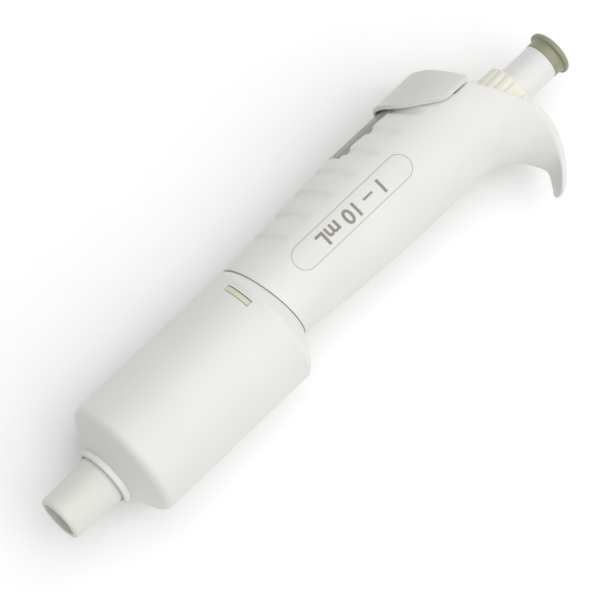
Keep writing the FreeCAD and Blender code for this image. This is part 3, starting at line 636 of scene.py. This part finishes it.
def make_hood():
    """The slanted button hood with softly bevelled edges, and the arm inside that holds the rod."""
    side_view = [(185.9, 12.3, 2.2), (177.8, 17.7, 4), (172.8, 22.0, 4), (169.6, 28.5), (188.7, 28.5, 2.0),
                 (191.6, 24.5, 4.0), (198.1, 12.1, 2.6)]
    inside = [(158, 11.3), (158, 30), (184.1, 30), (189.5, 24.5), (196.0, 11.3)]
    hood = combine(oval_bar("ejector_hood", HOOD_DEPTH - BEVEL, HOOD_WIDTH - BEVEL, 160, 206),
                   prism("outside", rounded(side_view, 0.5, 8), GRIP_SPAN), "INTERSECT")
    face = combine(oval_bar("face", HOOD_DEPTH, HOOD_WIDTH, 160, 206),
                   prism("outside", rounded(set_in(side_view, BEVEL), 0.5, 8), GRIP_SPAN), "INTERSECT")
    combine(hood, face, "UNION")
    room = combine(oval_bar("room", 20.0, 17.6, 155, 210), prism("inside", inside, GRIP_SPAN), "INTERSECT")
    combine(hood, room, "DIFFERENCE")
    arm = copy(frame["nodes"]["ejector_button"], "arm")
    combine(tidy(arm), block("near_rod", (190.5, 5.0, -13.5), (195.5, 14.6, -8.0)), "INTERSECT")
    return knead(join(hood, arm), 0.28, 9)


# ---- nozzle, ring, rod and cap -------------------------------------------------------------------------

FLUTES, FLUTE_DEPTH = 18, 0.5


def flutes(r, along, angle):
    """The adjusting ring's rounded ribs, fading out at its top and bottom."""
    if r < 9.0:
        return 0.0
    fade = min(1.0, max(0.0, (210.9 - along) / 0.9))
    return -FLUTE_DEPTH * fade * (0.5 + 0.5 * math.cos(FLUTES * angle)) ** 2.0


def make_turned_pieces():
    """The nozzle, the fluted adjusting ring, the push rod's tube and the cap on its end."""
    nozzle = lathe("nozzle", [(6.4, 0.0, 0.35), (8.0, 0.0, 0.8), (8.3, 1.4, 0.4), (8.3, 4.0, 0.4), (8.95, 19.5, 0.5),
                              (8.95, 23.7, 0.5), (19.6, 30.2), (19.6, 31.5), (17.8, 31.5), (17.8, 33.5),
                              (2.5, 33.5), (2.5, 14.5), (5.6, 14.5), (5.6, 9.5), (6.4, 9.5)], 0.25)
    finish_piece(nozzle, "grip", "nozzle_grey", ["nozzle_cone"])
    ring = lathe("fluted_ring", [(8.02, 197.5), (9.8, 197.5, 0.4), (9.8, 199.0, 0.1), (9.8, 204.0, 0.1),
                                 (9.8, 209.0, 0.1), (9.8, 211.2, 1.0), (7.0, 211.2, 0.4), (7.0, 208.0),
                                 (8.02, 208.0)], 0.25, FLUTES * 20, flutes)
    finish_piece(ring, "setting_ring", "ring_ivory", ["adjusting_ring"])
    rod = lathe("push_tube", [(2.52, 183.0), (6.7, 183.0), (6.7, 205.0), (6.7, 225.6), (5.2, 225.6), (5.2, 196.5),
                              (2.52, 196.5)], 0.2)
    finish_piece(rod, "plunger", "rod_white", ["push_rod"])
    cap = lathe("push_cap", [(0.01, 219.6, 0.0), (5.18, 219.6, 0.3), (5.18, 225.6, 0.05), (6.85, 225.6, 0.15),
                             (6.88, 229.0, 0.9), (8.2, 229.3, 0.4), (8.2, 230.6, 0.5), (7.2, 231.4, 0.8),
                             (3.5, 231.95, 2.0), (0.01, 232.0, 0.0)], 0.3)
    finish_piece(cap, "plunger", "cap_olive", ["push_button"])


# ---- digit drums ---------------------------------------------------------------------------------------

def make_digits():
    """Numbers printed round each drum, the one that shows facing the window."""
    drums = (("digit_drum_tens", "tens_drum", 0), ("digit_drum_units", "units_drum", 6),
             ("digit_drum_tenths", "counter", 0))
    for node, body, shown in drums:
        low, high = (np.array(corner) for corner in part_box(node))
        radius = (high[1] - low[1]) / 2
        digits = []
        for number in range(10):
            text = flat_text(f"{node}_{number}", str(number), 3.6, 0.08, 0.02)
            text.data.transform(Matrix(((0, 1, 0, 0), (0, 0, 1, 0), (1, 0, 0, 0), (0, 0, 0, 1))))
            text.data.transform(Matrix.Translation((0, radius - 0.00003, 0)))
            text.data.transform(Matrix.Rotation((number - shown) * 2 * math.pi / 10, 4, "X"))
            digits.append(text)
        piece = join(*digits)
        piece.name = f"{node}_digits"
        piece.data.transform(Matrix.Translation(Vector((low + high) / 2)))
        finish_piece(piece, body, SLOT_OF[node], paint=INK)


def paint_frame():
    """Every CAD piece that stays gets its own finish."""
    for name, item in frame["nodes"].items():
        item.data.materials.clear()
        item.data.materials.append(FINISHES[SLOT_OF[name]])
        shade(item, 30)


# ---- springs -------------------------------------------------------------------------------------------

# node, piece, stretch kept, bodies at its ends, and where it starts and stops closing up
COILS = (("piston_spring", "piston_spring_lower", (99.0, 120.0), ("grip", "stop_nut"), (100.0, 120.0)),
         ("piston_spring", "piston_spring_upper", (120.0, 141.0), ("stop_nut", "plunger"), (120.0, 140.0)),
         ("ejector_spring", "ejector_coil", (99.0, 124.0), ("grip", "tip_ejector"), (100.0, 122.7)))


def make_springs():
    """Springs cut from the CAD coils, the piston's halved where the nut's and the button's shares meet."""
    for node, name, (low, high), bodies, (start, end) in COILS:
        coil = copy(frame["nodes"][node], name)
        combine(tidy(coil), block("near_half", (low, -16, -16), (high, 16, 16)), "INTERSECT")
        coil.data.materials.clear()
        coil.data.materials.append(FINISHES["steel"])
        shade(coil, 60)
        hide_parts(node)
        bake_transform(coil)
    coil = shade(tidy(copy(frame["nodes"]["blowout_spring"], "blowout_coil")), 60)
    finish_piece(coil, "grip", "steel", ["blowout_spring"])
    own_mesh(coil)


# ---- stage ---------------------------------------------------------------------------------------------

BRIGHT_SIDE = (0.50, -0.27, 0.82)  # the room is brightest high up, a little towards the push button
FLOOR_REACH = 3000.0
LAMP_AIM = Vector((0.11, 0.0, 0.0))
LAMPS = (("key", (0.35, -0.70, 0.85), 2.4, 0.9), ("top", (0.15, 0.1, 1.3), 5.8, 1.2))  # name, place, watts, width


def make_stage():
    """A pale floor under the lying pipette, a soft room light and two soft lamps."""
    bottom = CAD_BOX[0][2] / MM
    corners = [(x * FLOOR_REACH, y * FLOOR_REACH, bottom) for x, y in ((-1, -1), (1, -1), (1, 1), (-1, 1))]
    floor = mesh_piece("floor", corners, [(0, 1, 2, 3)])
    floor.data.materials.append(material("pale_floor", (0.93, 0.93, 0.93), 0.8, 0.004, 12.0, 0.0, specular=0.2))
    world = bpy.data.worlds.new("soft_room")
    world.use_nodes = True
    nodes, links = world.node_tree.nodes, world.node_tree.links
    nodes["Background"].inputs["Color"].default_value = (1.0, 1.0, 1.0, 1)
    heading = nodes.new("ShaderNodeTexCoord")
    facing = nodes.new("ShaderNodeVectorMath")
    facing.operation = "DOT_PRODUCT"
    facing.inputs[1].default_value = BRIGHT_SIDE
    glow = nodes.new("ShaderNodeMapRange")
    for end, value in (("From Min", -0.7), ("From Max", 1.0), ("To Min", 0.01), ("To Max", 1.0)):
        glow.inputs[end].default_value = value
    links.new(heading.outputs["Generated"], facing.inputs[0])
    links.new(facing.outputs["Value"], glow.inputs["Value"])
    links.new(glow.outputs["Result"], nodes["Background"].inputs["Strength"])
    bpy.context.scene.world = world
    for name, place, power, width in LAMPS:
        lamp = bpy.data.lights.new(name, "AREA")
        lamp.energy = power
        lamp.size = width
        holder = bpy.data.objects.new(name, lamp)
        holder.location = place
        holder.rotation_euler = (LAMP_AIM - Vector(place)).to_track_quat("-Z", "Y").to_euler()
        bpy.context.scene.collection.objects.link(holder)


def make_camera():
    """Looks down from the nozzle's side, rolled so that the pipette runs up to the right."""
    distance, lean, roll = 1.2, math.radians(15), math.radians(43.6)
    target = Vector((0.108, -0.0022, 0.0))
    toward = Vector((-math.sin(lean), 0, math.cos(lean)))
    along = Vector((math.cos(lean), 0, math.sin(lean)))
    front = Vector((0, 1, 0))
    right = along * math.cos(roll) - front * math.sin(roll)
    up = along * math.sin(roll) + front * math.cos(roll)
    lens = bpy.data.cameras.new("camera")
    lens.sensor_width = 36.0
    lens.lens = 220.2
    lens.clip_end = 20.0
    camera = bpy.data.objects.new("camera", lens)
    turn = Matrix((right, up, toward)).transposed().to_4x4()
    camera.matrix_world = Matrix.Translation(target + toward * distance) @ turn
    bpy.context.scene.collection.objects.link(camera)
    bpy.context.scene.camera = camera
    bpy.context.scene.view_settings.view_transform = "Standard"


make_camera()
paint_frame()
make_grip()
make_ejector()
make_turned_pieces()
make_digits()
make_springs()
make_stage()
